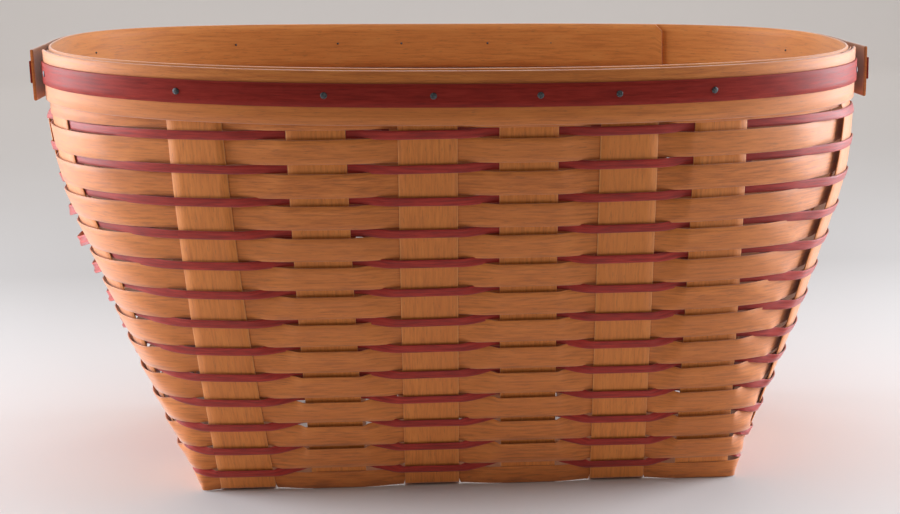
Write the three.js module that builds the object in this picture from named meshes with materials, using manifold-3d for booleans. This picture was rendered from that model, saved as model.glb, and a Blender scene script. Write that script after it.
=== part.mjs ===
// A large flared basket of woven wood splints with a banded rim.
// Millimetres, +Z up, the front faces -Y, and the base stands on z = 0.
import * as THREE from 'three';
import { mergeVertices } from 'three/addons/utils/BufferGeometryUtils.js';
import Module from 'manifold-3d';

const wasm = await Module();
wasm.setup();

// Outlines: the rim is taken over its outer bands and the base over its splints.
// The shoulder is the wall just under the rim's bands, and the rim flares out past it on each side.
// The long sides bulge a little below it. The ends lean out from the base to a knee, which is set in
// from the shoulder, and turn steep there.
const rimLength = 744;
const rimDepth = 460;
const rimSquareness = 2.6;
const endFlare = 4.5;
const sideFlare = 10;
const baseLength = 483;
const baseDepth = 264;
const squarenessFall = 0.75;
const kneeInset = 7;
const endBulge = 3;
const sideBulge = 4;
const height = 391;
const rimSag = 3.5;
const rimTilt = 4;
const endDip = 5.4;
const baseShift = 8;

// Splints that cross in the base and rise as the uprights.
const crossCount = 6;
const longCount = 3;
const splintWidth = 49;
const splintThickness = 1.2;
const baseCrossMargin = 11.5;
const baseLongMargin = 26;
const baseCrossShift = 5.4;
const baseCrossDrift = [0, 0, 1, 6, 5, 0];
const rimCrossShift = -3.9;
const rimCrossMargin = 127.8;
const rimCrossDrift = [0, 13, 17, 12, 8, 0];
const rimLongMargin = 113.5;
const fanLead = 0.5;
const endFan = 27;
const bendRadius = 4;
const splintTopGap = 1.5;

// Weavers: narrow red hoops with wide natural hoops filling the rows between.
const redCount = 13;
const redHeight = 7.5;
const weaverThickness = 1;
const redBelowBand = 7.5;
const lowestRed = 22;
const rowCrowding = 0.78;
const rowGap = 0.4;
const levelRows = [0, 2, 5, 9];
const upperCornerSteps = 2;
const lowerCornerSteps = 1;
const firstLowerRow = 5;

// Rim bands, trim strips and nails.
const bandHeight = 46;
const bandThickness = 2.4;
const outerBandDrop = 1;
const trimDrop = 11;
const trimHeight = 19.5;
const trimThickness = 1.6;
const standingLength = 50;
const standingAngle = 3;
const nailRadius = 1.1;
const nailHeadRadius = 2.8;
const nailHeadHeight = 1;
const nailTip = 1.2;
const nailSides = 5;
const frontNailDrift = [-10, 9, 5, 8.5, -11, -11];
const backNailDrift = [-9, -15, 9, 0, 16, 17];
const endNailDrift = [9, -8, 10];
const clearance = 0.3;
const weaveGap = 0.8;

// Layers outward from the middle of the wall.
const weaveOffset = splintThickness / 2 + weaveGap + weaverThickness / 2;
const bandInside = weaveOffset + weaverThickness / 2 + clearance;
const bandOutside = bandInside + bandThickness;
const trimInside = bandOutside + clearance;
const trimOutside = trimInside + trimThickness;

// Small steps for slopes taken along the wall.
const angleStep = 0.005;
const kStep = 0.002;
const uprightTwist = 2;
const bandTwist = 0.6;

const lerp = THREE.MathUtils.lerp;
const basket = new THREE.Group();

const paints = {
  splint: { color: 0xc98d52, roughness: 0.6 },
  weaver: { color: 0xd09659, roughness: 0.6 },
  red: { color: 0x8c2a26, roughness: 0.55 },
  band: { color: 0xd29a60, roughness: 0.55 },
  nail: { color: 0x8d8f92, roughness: 0.4, metalness: 0.9 },
};

function addPart(name, geometry, paint) {
  geometry.computeVertexNormals();
  const mesh = new THREE.Mesh(geometry, new THREE.MeshStandardMaterial({ metalness: 0, ...paints[paint] }));
  mesh.name = name;
  basket.add(mesh);
  return mesh;
}

// Levels of the woven base and of the bends at its edge.
const matMiddle = splintThickness + clearance / 2;
const matOffset = (splintThickness + clearance) / 2;
const bendTop = matMiddle + bendRadius;
const kBend = bendTop / height;
const kTop = (height - splintTopGap) / height;

// Rows: the pitch of the red hoops shrinks evenly from the band down to the base.
const topRed = height - bandHeight - redBelowBand;
const topPitch = 2 * (topRed - lowestRed) / ((redCount - 1) * (1 + rowCrowding));
const redRows = [topRed];
for (let row = 1; row < redCount; row += 1) {
  const share = (row - 0.5) / (redCount - 1);
  redRows.push(redRows[row - 1] - topPitch * lerp(1, rowCrowding, share));
}
const rowReach = redHeight / 2 + rowGap;
const naturalRows = [{ low: redRows[0] + rowReach, high: redRows[0] + topPitch - rowReach }];
redRows.forEach((middle, row) => {
  const below = row + 1 < redCount ? redRows[row + 1] + rowReach : bendTop + rowGap;
  naturalRows.push({ low: below, high: middle - rowReach });
});

// Heights, as shares of the whole, between which the wall is lofted straight.
// They fall in the gaps between rows, so each row lies on one flat of each upright.
const rowLevels = levelRows.filter((row) => row < redCount)
  .map((row) => (redRows[row] + redHeight / 2 + rowGap / 2) / height);
const levels = [1, ...rowLevels, kBend];

// The ring at height share k is a superellipse. It grows and rounds off from the base to the
// shoulder, and runs on with the shoulder's roundness to the rim.
const [kShoulder, kKnee] = rowLevels;

// Straight runs through pairs of a height share and a size.
function alongStops(k, stops) {
  const next = Math.max(stops.findIndex(([share]) => k <= share), 1);
  const [low, atLow] = stops[next - 1];
  const [high, atHigh] = stops[next];
  return lerp(atLow, atHigh, (k - low) / (high - low));
}

function halfLength(k) {
  const atBase = (baseLength - splintThickness) / 2;
  const atShoulder = (rimLength - splintThickness) / 2 - endFlare;
  const atRim = rimLength / 2 - bandOutside;
  const share = Math.min(k / kKnee, 1);
  const bulge = 4 * endBulge * share * (1 - share);
  const stops = [[0, atBase], [kKnee, atShoulder - kneeInset], [kShoulder, atShoulder], [1, atRim]];
  return alongStops(k, stops) + bulge;
}

function halfDepth(k) {
  const atBase = (baseDepth - splintThickness) / 2;
  const atShoulder = (rimDepth - splintThickness) / 2 - sideFlare;
  const atRim = rimDepth / 2 - bandOutside;
  const share = Math.min(k / kShoulder, 1);
  const bulge = 4 * sideBulge * share * (1 - share);
  return alongStops(k, [[0, atBase], [kShoulder, atShoulder], [1, atRim]]) + bulge;
}

function ringAt(k) {
  return {
    a: halfLength(k),
    b: halfDepth(k),
    n: rimSquareness * Math.max(kShoulder / k, 1) ** squarenessFall,
    shift: baseShift * (1 - k),
  };
}

// The rim sags along its long sides and stands a little higher on the left.
// The rows dip towards the ends, most at the shoulder.
function wallPoint(k, x, y) {
  const { a, shift } = ringAt(k);
  const rightwards = x / a;
  const endwards = rightwards ** 2;
  const dip = endDip * Math.min(k / kShoulder, (1 - k) / (1 - kShoulder));
  const tilt = rimTilt * Math.max((k - kShoulder) / (1 - kShoulder), 0);
  const z = k * (height - rimSag * (1 - endwards)) - dip * endwards - tilt * rightwards;
  return new THREE.Vector3(x + shift, y, z);
}

// Points of the wall at a given angle, at a given x on the front (side -1) or back (side 1),
// and at a given y on the left (side -1) or right (side 1) end.
function wallAtAngle(k, angle) {
  const { a, b, n } = ringAt(k);
  const c = Math.cos(angle);
  const s = Math.sin(angle);
  return wallPoint(k, a * Math.sign(c) * Math.abs(c) ** (2 / n), b * Math.sign(s) * Math.abs(s) ** (2 / n));
}

function wallAtX(k, x, side) {
  const { a, b, n, shift } = ringAt(k);
  return wallPoint(k, x - shift, side * b * (1 - Math.abs((x - shift) / a) ** n) ** (1 / n));
}

function wallAtY(k, y, side) {
  const { a, b, n } = ringAt(k);
  return wallPoint(k, side * a * (1 - Math.abs(y / b) ** n) ** (1 / n), y);
}

function angleOf(k, point) {
  const { a, b, n, shift } = ringAt(k);
  const x = point.x - shift;
  const c = Math.sign(x) * Math.abs(x / a) ** (n / 2);
  const s = Math.sign(point.y) * Math.abs(point.y / b) ** (n / 2);
  return Math.atan2(s, c);
}

// Places of the splints across the base and at height share k of the wall. The cross splints drift
// from even spacing and fan out sooner than the wall rises. The outer long splints swing out
// towards the corners half way up.
const pitchOf = (span, margin, count) => (span - 2 * margin - splintWidth) / (count - 1);
const baseCrossPitch = pitchOf(baseLength, baseCrossMargin, crossCount);
const rimCrossPitch = pitchOf(rimLength, rimCrossMargin, crossCount);
const baseLongPitch = pitchOf(baseDepth, baseLongMargin, longCount);
const rimLongPitch = pitchOf(rimDepth, rimLongMargin, longCount);
const crossMiddle = (crossCount - 1) / 2;
const longMiddle = (longCount - 1) / 2;

function crossX(i, k) {
  const step = i - crossMiddle;
  const onBase = baseShift + baseCrossShift + step * baseCrossPitch + (baseCrossDrift[i] ?? 0);
  const onRim = rimCrossShift + step * rimCrossPitch + (rimCrossDrift[i] ?? 0);
  return lerp(onBase, onRim, k + fanLead * k * (1 - k));
}

function longY(j, k) {
  const share = Math.min(k / kShoulder, 1);
  const fan = 4 * endFan * share * (1 - share);
  return (j - longMiddle) * (lerp(baseLongPitch, rimLongPitch, k) + fan);
}

// A line up the wall that is straight between its points at the levels.
function levelLine(pointAt) {
  const points = levels.map(pointAt);
  return (k) => {
    const found = levels.findIndex((level) => level <= k);
    const below = found < 0 ? levels.length - 1 : Math.max(found, 1);
    const share = (k - levels[below]) / (levels[below - 1] - levels[below]);
    return points[below].clone().lerp(points[below - 1], share);
  };
}

// Outward direction across two lines up the wall.
function outwardAcross(first, second, k) {
  const chord = second(k).sub(first(k));
  const rise = first(k + kStep).sub(first(k - kStep)).add(second(k + kStep).sub(second(k - kStep)));
  return chord.cross(rise).normalize();
}

// The 18 uprights in order round the wall: front, right end, back, left end.
// Each has lines up its first and second edge, and an outward direction.
const uprights = [];

function addUpright(wall, splint, nailName, drift, place) {
  const reachAt = (k) => {
    const along = place(k, 1).sub(place(k, -1)).setZ(0);
    return splintWidth / along.length();
  };
  const first = levelLine((k) => place(k, -reachAt(k)));
  const second = levelLine((k) => place(k, reachAt(k)));
  const out = (k) => outwardAcross(first, second, k);
  uprights.push({ wall, splint, nailName, drift, first, second, out });
}

for (let i = 0; i < crossCount; i += 1) {
  addUpright('front', `cross_splint_${i + 1}`, `nail_front_${i + 1}`, frontNailDrift[i] ?? 0,
    (k, reach) => wallAtX(k, crossX(i, k) + reach, -1));
}
for (let j = 0; j < longCount; j += 1) {
  addUpright('right', `long_splint_${j + 1}`, `nail_right_${j + 1}`, endNailDrift[j] ?? 0,
    (k, reach) => wallAtY(k, longY(j, k) + reach, 1));
}
for (let i = crossCount - 1; i >= 0; i -= 1) {
  addUpright('back', `cross_splint_${i + 1}`, `nail_back_${i + 1}`, backNailDrift[i] ?? 0,
    (k, reach) => wallAtX(k, crossX(i, k) - reach, 1));
}
for (let j = longCount - 1; j >= 0; j -= 1) {
  addUpright('left', `long_splint_${j + 1}`, `nail_left_${j + 1}`, -(endNailDrift[j] ?? 0),
    (k, reach) => wallAtY(k, longY(j, k) - reach, -1));
}

// A station at one edge of an upright, set off from the wall square to the upright's flat.
function edgeStation(upright, line) {
  return { upright, place: (k, offset) => line(k).addScaledVector(upright.out(k), offset) };
}

// A station in the free stretch between two uprights, by its share of the way.
function cornerStation(before, after, share) {
  const lineAt = (turn) => levelLine((k) => {
    const start = angleOf(k, before.second(k));
    const end = angleOf(k, after.first(k));
    const way = end < start ? end + 2 * Math.PI : end;
    return wallAtAngle(k, lerp(start, way, share) + turn);
  });
  const line = lineAt(0);
  const justBefore = lineAt(-angleStep);
  const justAfter = lineAt(angleStep);
  const place = (k, offset) => line(k).addScaledVector(outwardAcross(justBefore, justAfter, k), offset);
  return { before, after, share, place };
}

// Stations of a whole hoop: both edges of every upright, and the rounding of the four corners.
function hoopStations(cornerSteps) {
  return uprights.flatMap((upright, index) => {
    const next = uprights[(index + 1) % uprights.length];
    const list = [edgeStation(upright, upright.first), edgeStation(upright, upright.second)];
    for (let step = 1; upright.wall !== next.wall && step <= cornerSteps; step += 1) {
      list.push(cornerStation(upright, next, step / (cornerSteps + 1)));
    }
    return list;
  });
}

// A flat strip lofted along two edge lines, with its thickness across them.
// A twisted facet is split round its middle point, a flat one along a diagonal: the one that bows
// outwards where bowOf is above zero, and inwards where it is below.
function ribbon(low, high, thickness, closed, flatness = Infinity, bowOf = () => 0) {
  const count = low.length;
  const middles = low.map((point, i) => point.clone().lerp(high[i], 0.5));
  const positions = [];
  const outs = [];
  for (let i = 0; i < count; i += 1) {
    const before = closed ? middles[(i + count - 1) % count] : middles[Math.max(i - 1, 0)];
    const after = closed ? middles[(i + 1) % count] : middles[Math.min(i + 1, count - 1)];
    const arriving = middles[i].clone().sub(before).normalize();
    const leaving = after.clone().sub(middles[i]).normalize();
    const across = high[i].clone().sub(low[i]);
    const out = arriving.add(leaving).cross(across).setLength(thickness / 2);
    outs.push(out);
    positions.push(low[i].clone().sub(out), low[i].clone().add(out));
    positions.push(high[i].clone().add(out), high[i].clone().sub(out));
  }
  const index = [];
  for (let i = 0; i < (closed ? count : count - 1); i += 1) {
    const j = (i + 1) % count;
    for (let side = 0; side < 4; side += 1) {
      const next = (side + 1) % 4;
      const facet = [4 * i + side, 4 * j + side, 4 * j + next, 4 * i + next];
      const [a, b, c, d] = facet.map((corner) => positions[corner].clone());
      const middle = a.clone().add(b).add(c).add(d).divideScalar(4);
      const twist = a.add(c).sub(b).sub(d);
      if (side % 2 === 1 && twist.length() >= flatness) {
        facet.forEach((corner, k) => index.push(corner, facet[(k + 1) % 4], positions.length));
        positions.push(middle);
      } else {
        if (twist.dot(outs[i]) * bowOf(i) < 0) facet.push(facet.shift());
        index.push(facet[0], facet[1], facet[2], facet[0], facet[2], facet[3]);
      }
    }
  }
  if (!closed) {
    const last = 4 * (count - 1);
    index.push(0, 1, 2, 0, 2, 3, last, last + 2, last + 1, last, last + 3, last + 2);
  }
  const geometry = new THREE.BufferGeometry().setFromPoints(positions);
  geometry.setIndex(index);
  return geometry;
}

// Square nail holes are cut after lofting, one for each nail that passes the piece.
function toSolid(geometry) {
  const bare = geometry.clone();
  bare.deleteAttribute('normal');
  bare.deleteAttribute('uv');
  const merged = mergeVertices(bare);
  return new wasm.Manifold(new wasm.Mesh({
    numProp: 3,
    vertProperties: new Float32Array(merged.attributes.position.array),
    triVerts: new Uint32Array(merged.index.array),
  }));
}

function drill(geometry, holders) {
  const side = 2 * (nailRadius + clearance);
  const depth = 2 * (trimOutside + bandOutside);
  let solid = toSolid(geometry);
  holders.forEach((upright) => {
    const hole = new THREE.BoxGeometry(side, side, depth);
    hole.applyMatrix4(nailFrame(upright));
    solid = solid.subtract(toSolid(hole));
  });
  return toGeometry(solid);
}

function toGeometry(solid) {
  const mesh = solid.getMesh();
  const result = new THREE.BufferGeometry();
  result.setAttribute('position', new THREE.BufferAttribute(new Float32Array(mesh.vertProperties), 3));
  result.setIndex(new THREE.BufferAttribute(new Uint32Array(mesh.triVerts), 1));
  return result;
}

// Height share at a given drop from the rim along a line that runs straight up from the shoulder.
function shareAtDrop(lineAt, drop) {
  return 1 - (1 - kShoulder) * drop / (lineAt(1).z - lineAt(kShoulder).z);
}

// Frame of a nail: its origin in the middle of the wall, +Z out of the basket.
function nailFrame(upright) {
  const nailDrop = trimDrop + trimHeight / 2;
  const first = upright.first(shareAtDrop(upright.first, nailDrop));
  const second = upright.second(shareAtDrop(upright.second, nailDrop));
  const along = second.clone().sub(first).normalize();
  const out = upright.out(shareAtDrop(upright.first, nailDrop));
  const place = first.lerp(second, 0.5).addScaledVector(along, upright.drift);
  out.addScaledVector(along, -out.dot(along)).normalize();
  const frame = new THREE.Matrix4().makeBasis(along, out.clone().cross(along), out);
  return frame.setPosition(place);
}

// Splints: down one wall, across the woven base and up the other wall.
const uprightLevels = [kTop, ...levels.slice(1)];

// The quarter bend between the foot of a wall and the flat of the base.
function bendPoints(foot, inward, level) {
  const corner = foot.clone().setZ(level);
  const flat = corner.clone().addScaledVector(inward, bendRadius);
  return [new THREE.QuadraticBezierCurve3(foot, corner, flat).getPoint(0.5), flat];
}

function splintGeometry(start, finish, crossings) {
  const downLow = uprightLevels.map(start.first);
  const downHigh = uprightLevels.map(start.second);
  const upLow = uprightLevels.map(finish.second).reverse();
  const upHigh = uprightLevels.map(finish.first).reverse();
  const lowFoot = downLow[downLow.length - 1];
  const highFoot = downHigh[downHigh.length - 1];
  const middle = lowFoot.clone().lerp(highFoot, 0.5);
  const inward = upLow[0].clone().lerp(upHigh[0], 0.5).sub(middle).setZ(0).normalize();
  const outward = inward.clone().negate();
  const across = highFoot.clone().sub(lowFoot).setZ(0).setLength(splintWidth / 2);
  const levelOf = (crossing) => matMiddle + (crossing.over ? matOffset : -matOffset);
  const flat = crossings.flatMap((crossing) => [-1, 1].map((reach) => {
    const ahead = crossing.distance + reach * splintWidth / 2;
    return middle.clone().addScaledVector(inward, ahead).setZ(levelOf(crossing));
  }));
  const nearLevel = levelOf(crossings[0]);
  const farLevel = levelOf(crossings[crossings.length - 1]);
  const edge = (side) => flat.map((point) => point.clone().addScaledVector(across, side));
  const low = [
    ...downLow, ...bendPoints(lowFoot, inward, nearLevel), ...edge(-1),
    ...bendPoints(upLow[0], outward, farLevel).reverse(), ...upLow,
  ];
  const high = [
    ...downHigh, ...bendPoints(highFoot, inward, nearLevel), ...edge(1),
    ...bendPoints(upHigh[0], outward, farLevel).reverse(), ...upHigh,
  ];
  return drill(ribbon(low, high, splintThickness, false, uprightTwist), [start, finish]);
}

const bySplint = (name) => uprights.filter((upright) => upright.splint === name);
const footOf = (upright) => upright.first(kBend).lerp(upright.second(kBend), 0.5);

for (let i = 0; i < crossCount; i += 1) {
  const name = `cross_splint_${i + 1}`;
  const [front, back] = bySplint(name);
  const crossings = Array.from({ length: longCount }, (_, j) => ({
    distance: longY(j, 0) - footOf(front).y,
    over: (i + j) % 2 === 0,
  }));
  addPart(name, splintGeometry(front, back, crossings), 'splint');
}
for (let j = 0; j < longCount; j += 1) {
  const name = `long_splint_${j + 1}`;
  const [right, left] = bySplint(name);
  const crossings = Array.from({ length: crossCount }, (_, i) => ({
    distance: crossX(i, 0) - footOf(left).x,
    over: (i + j) % 2 === 1,
  }));
  addPart(name, splintGeometry(left, right, crossings), 'splint');
}

// Natural hoops pass outside every second upright, red hoops outside the others.
const stations = hoopStations(upperCornerSteps);
const lowerStations = hoopStations(lowerCornerSteps);

function weaveAt(station, phase) {
  const sideOf = (upright) => (uprights.indexOf(upright) % 2 === phase ? weaveOffset : -weaveOffset);
  if (station.upright) return sideOf(station.upright);
  return lerp(sideOf(station.before), sideOf(station.after), station.share);
}

function addWeaver(name, row, low, high, phase, paint) {
  const round = row < firstLowerRow ? stations : lowerStations;
  const offsets = round.map((station) => weaveAt(station, phase));
  const edgeAt = (level) => round.map((station, i) => station.place(level / height, offsets[i]));
  const geometry = ribbon(edgeAt(low), edgeAt(high), weaverThickness, true, Infinity, (i) => offsets[i]);
  addPart(name, geometry, paint);
}

const twoDigits = (number) => String(number).padStart(2, '0');
naturalRows.forEach(({ low, high }, row) => {
  addWeaver(`natural_weaver_${twoDigits(row + 1)}`, row, low, high, 1, 'weaver');
});
redRows.forEach((middle, row) => {
  const low = middle - redHeight / 2;
  addWeaver(`red_weaver_${twoDigits(row + 1)}`, row, low, low + redHeight, 0, 'red');
});

// Rim: one inner hoop, and outer bands and trims in a front and a back half.
// The front halves end at the far edge of the first upright of each end.
// The back halves run on straight past the middle upright and stand off.
function rimRibbon(line, dropLow, dropHigh, inside, outside, closed) {
  const middle = (inside + outside) / 2;
  const edgeAt = (drop) => line.map((station) => {
    const share = shareAtDrop((k) => station.place(k, 0), drop);
    return station.place(share, middle);
  });
  return ribbon(edgeAt(dropLow), edgeAt(dropHigh), Math.abs(outside - inside), closed, bandTwist);
}

const innerHoop = rimRibbon(stations, bandHeight, 0, -bandInside, -bandOutside, true);
addPart('inner_band', drill(innerHoop, uprights), 'band');

const rightFirst = crossCount;
const leftFirst = uprights.length - 1;
const rightMiddle = uprights[rightFirst + (longCount - 1) / 2];
const leftMiddle = uprights[leftFirst - (longCount - 1) / 2];
const frontHolders = [uprights[leftFirst], ...uprights.slice(0, rightFirst + 1)];
const backHolders = uprights.filter((upright) => !frontHolders.includes(upright));

// A station past an edge of an upright along its flat, swung out by an angle.
function beyondStation(upright, from, towards) {
  const turn = THREE.MathUtils.degToRad(standingAngle);
  return {
    place: (k, offset) => {
      const out = upright.out(k);
      const along = towards(k).sub(from(k)).normalize();
      const place = towards(k).addScaledVector(out, offset + standingLength * Math.sin(turn));
      return place.addScaledVector(along, standingLength * Math.cos(turn));
    },
  };
}

function stationsOf(holders) {
  return stations.filter((station) => (station.upright
    ? holders.includes(station.upright)
    : holders.includes(station.before) && holders.includes(station.after)));
}

const frontStations = stationsOf(frontHolders);
const wrapped = frontStations.findIndex((station) => station.upright === uprights[leftFirst]);
const frontLine = [...frontStations.slice(wrapped), ...frontStations.slice(0, wrapped)];
const backLine = [
  beyondStation(rightMiddle, rightMiddle.second, rightMiddle.first), ...stationsOf(backHolders),
  beyondStation(leftMiddle, leftMiddle.first, leftMiddle.second),
];

function addHalf(half, line, holders) {
  const band = rimRibbon(line, bandHeight, outerBandDrop, bandInside, bandOutside, false);
  const trim = rimRibbon(line, trimDrop + trimHeight, trimDrop, trimInside, trimOutside, false);
  addPart(`outer_band_${half}`, drill(band, holders), 'band');
  addPart(`trim_${half}`, drill(trim, holders), 'red');
}

addHalf('front', frontLine, frontHolders);
addHalf('back', backLine, backHolders);

// Nails: a round shank through trim, bands and upright, with a flat head on the trim.
function nailGeometry() {
  const seat = trimOutside + clearance;
  const profile = [
    [0, -bandOutside - nailTip], [nailRadius, -bandOutside], [nailRadius, seat],
    [nailHeadRadius, seat], [nailHeadRadius, seat + nailHeadHeight], [0, seat + nailHeadHeight],
  ];
  const geometry = new THREE.LatheGeometry(profile.map(([x, y]) => new THREE.Vector2(x, y)), nailSides);
  return toGeometry(toSolid(geometry.rotateX(Math.PI / 2)));
}

uprights.forEach((upright) => {
  const nail = addPart(upright.nailName, nailGeometry(), 'nail');
  nail.applyMatrix4(nailFrame(upright));
});

export default basket;
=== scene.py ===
import math

import bpy
import numpy as np
from mathutils import Matrix, Vector


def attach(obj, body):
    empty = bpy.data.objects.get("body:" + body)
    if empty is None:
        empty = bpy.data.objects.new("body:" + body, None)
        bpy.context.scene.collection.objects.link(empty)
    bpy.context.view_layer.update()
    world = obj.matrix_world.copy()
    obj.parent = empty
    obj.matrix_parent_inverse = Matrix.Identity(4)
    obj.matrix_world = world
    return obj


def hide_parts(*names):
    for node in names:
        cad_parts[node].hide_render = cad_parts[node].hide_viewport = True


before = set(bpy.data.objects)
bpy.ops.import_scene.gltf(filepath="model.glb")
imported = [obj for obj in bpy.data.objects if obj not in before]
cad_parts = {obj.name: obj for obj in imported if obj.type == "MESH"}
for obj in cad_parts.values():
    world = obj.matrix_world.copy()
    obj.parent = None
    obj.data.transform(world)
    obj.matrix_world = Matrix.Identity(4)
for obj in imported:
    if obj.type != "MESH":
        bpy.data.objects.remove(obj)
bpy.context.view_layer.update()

# A large flared splint basket with a nailed rim. Metres, +Z up, the front faces -Y.
print("frame loaded with", len(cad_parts), "nodes")

draw = np.random.default_rng(41)  # seeded, so that each run draws the same waves and grain

# The wall's outline and heights, the same driving sizes as the solids.
form = {
    "rimLength": 0.744,
    "rimDepth": 0.460,
    "rimSquareness": 2.6,
    "endFlare": 0.0045,
    "sideFlare": 0.010,
    "baseLength": 0.483,
    "baseDepth": 0.264,
    "squarenessFall": 0.75,
    "kneeInset": 0.007,
    "kneeSoftness": 0.06,  # share of the height over which the end's corners are rounded
    "endBulge": 0.003,
    "sideBulge": 0.004,
    "height": 0.391,
    "rimSag": 0.0035,
    "rimTilt": 0.004,
    "endDip": 0.0054,
    "baseShift": 0.008,
    "rimInset": 0.0051,
}

# Splints that cross in the base and rise as the uprights.
splint = {
    "crossCount": 6,
    "longCount": 3,
    "width": 0.049,
    "thickness": 0.0012,
    "rounding": 0.00035,
    "baseCrossMargin": 0.0115,
    "baseLongMargin": 0.026,
    "baseCrossShift": 0.0054,
    "baseCrossDrift": [0, 0, 0.001, 0.006, 0.005, 0],
    "rimCrossShift": -0.0039,
    "rimCrossMargin": 0.1278,
    "rimCrossDrift": [0, 0.013, 0.017, 0.012, 0.008, 0],
    "rimLongMargin": 0.1135,
    "fanLead": 0.5,
    "endFan": 0.027,
    "bendRadius": 0.004,
    "topGap": 0.0015,
    "matGap": 0.0003,
    "columns": 7,
    "wallSteps": 150,
    "bendSteps": 9,
    "baseSteps": 92,
}

# Rows of the weave: narrow red hoops between wide natural ones.
weave = {
    "redCount": 13,
    "redHeight": 0.0078,
    "naturalHeight": 0.0216,
    "leastGap": 0.0018,
    "levelReach": 0.00395,  # the wall's shoulder and knee lie this far above the middle of a red row
    "kneeRow": 2,  # red rows down from the top one
    "thickness": 0.001,
    "rounding": 0.0003,
    "columns": 5,
    "redBelowBand": 0.0075,
    "lowestRed": 0.022,
    "rowCrowding": 0.78,
    "outside": 0.0012,
    "inside": 0.0016,
    "skew": 0.72,  # how far a crowded strip's two edges change sides apart
    "cornerTurn": 0.30,
    "turnMargin": 0.12,
    "swingFrom": 0.55,  # from the middle of an odd upright, half an upright being 0.5
    "swingTo": 1.45,
    "fullCrowd": 0.0030,  # overlap of two rows at which their strips turn fully askew
    "spare": 0.0003,
    "gapeTop": 0.0015,
    "gapeLow": 0.0033,
    "foot": 0.0090,
    "footGap": 0.0008,
    "footSide": -0.996,  # where the foot is out in full, -1 being behind an upright
    "wander": 0.0005,
    "flutter": 0.00012,
}

# Rim bands and trims.
rim = {
    "bandHeight": 0.046,
    "bandInside": 0.0018,
    "bandThickness": 0.0028,
    "bandRounding": 0.0008,
    "bandColumns": 7,
    "outerDrop": 0.001,
    "trimDrop": 0.011,
    "trimHeight": 0.0195,
    "trimThickness": 0.0016,
    "trimRounding": 0.0004,
    "trimColumns": 5,
    "trimGap": 0.00005,
    "standingLength": 0.050,
    "standingAngle": 3.0,
    "standingSteps": 26,
    "lapStart": 18.06,  # counted in q, like the uprights' edges
    "lapSpare": 3.2,  # walked on past the start before the tail is cut to length
    "lapLength": 0.075,
    "lapEase": 0.07,
    "lapLift": 1.02,  # of the band's thickness
    "lapTail": 0.060,
    "lapChamfer": 0.0072,
    "lapEndReach": 1.2,
    "lapEndSteps": 7,
}


def lerp(start, end, share):
    return start + (end - start) * share


def smoothStep(start, end, value):
    share = np.clip((value - start) / (end - start), 0, 1)
    return share * share * (3 - 2 * share)


# Heights of the red rows: their pitch shrinks evenly from the band down to the base.
topRed = form["height"] - rim["bandHeight"] - weave["redBelowBand"]
spacesSum = (weave["redCount"] - 1) * (1 + weave["rowCrowding"])
topPitch = 2 * (topRed - weave["lowestRed"]) / spacesSum
spaceShare = (np.arange(1, weave["redCount"]) - 0.5) / (weave["redCount"] - 1)
rowPitch = topPitch * lerp(1, weave["rowCrowding"], spaceShare)
redRows = topRed - np.concatenate([[0], np.cumsum(rowPitch)])
matMiddle = splint["thickness"] + splint["matGap"] / 2
matOffset = (splint["thickness"] + splint["matGap"]) / 2
bendTop = matMiddle + splint["bendRadius"]
kBend = bendTop / form["height"]
kTop = 1 - splint["topGap"] / form["height"]
kHighest = 1.01  # the wall is worked out to a little above the rim
kShoulder = (redRows[0] + weave["levelReach"]) / form["height"]
kKnee = (redRows[weave["kneeRow"]] + weave["levelReach"]) / form["height"]

# Uprights are counted from the front left one: along the front, the right end, the back and the left end.
crossCount, longCount = splint["crossCount"], splint["longCount"]
lastFront = crossCount - 1
lastRight = lastFront + longCount
lastBack = lastRight + crossCount
lastLeft = lastBack + longCount
cornerGaps = [lastFront, lastRight, lastBack, lastLeft]
turns = 2 * (lastLeft + 1)  # upright edges in one turn round the wall


def middleOf(upright):
    return 2 * upright + 0.5


# Half the ring's length: out to the knee with a parabolic bulge, steeper to the shoulder, then to the rim.
# The corners of that line are softened by a running mean.
meanPlaces = np.linspace(-1, 1, 25)


def halfLength(k):
    atBase = (form["baseLength"] - splint["thickness"]) / 2
    atShoulder = (form["rimLength"] - splint["thickness"]) / 2 - form["endFlare"]
    atRim = form["rimLength"] / 2 - form["rimInset"]
    atKnee = atShoulder - form["kneeInset"]
    near = k + meanPlaces * min(form["kneeSoftness"], k, kHighest - k)
    share = np.clip(near / kKnee, 0, 1)
    straight = np.interp(near, [0, kKnee, kShoulder, 1], [atBase, atKnee, atShoulder, atRim])
    return (straight + 4 * form["endBulge"] * share * (1 - share)).mean()


# Half its depth: straight with a parabolic bulge up to the shoulder, then straight to the rim.
def halfDepth(k):
    atBase = (form["baseDepth"] - splint["thickness"]) / 2
    atShoulder = (form["rimDepth"] - splint["thickness"]) / 2 - form["sideFlare"]
    atRim = form["rimDepth"] / 2 - form["rimInset"]
    share = min(k / kShoulder, 1)
    straight = np.interp(k, [0, kShoulder, 1], [atBase, atShoulder, atRim])
    return straight + 4 * form["sideBulge"] * share * (1 - share)


def pitchOf(span, margin, count):
    return (span - 2 * margin - splint["width"]) / (count - 1)


# Middles of the cross splints along x and of the long ones along y, at height share k.
# The cross splints fan out sooner than the wall rises, and the outer long ones swing towards the corners.
def crossMiddles(k):
    step = np.arange(crossCount) - (crossCount - 1) / 2
    onBase = step * pitchOf(form["baseLength"], splint["baseCrossMargin"], crossCount)
    onRim = step * pitchOf(form["rimLength"], splint["rimCrossMargin"], crossCount)
    onBase = onBase + form["baseShift"] + splint["baseCrossShift"] + np.array(splint["baseCrossDrift"])
    onRim = onRim + splint["rimCrossShift"] + np.array(splint["rimCrossDrift"])
    return lerp(onBase, onRim, k + splint["fanLead"] * k * (1 - k))


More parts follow.
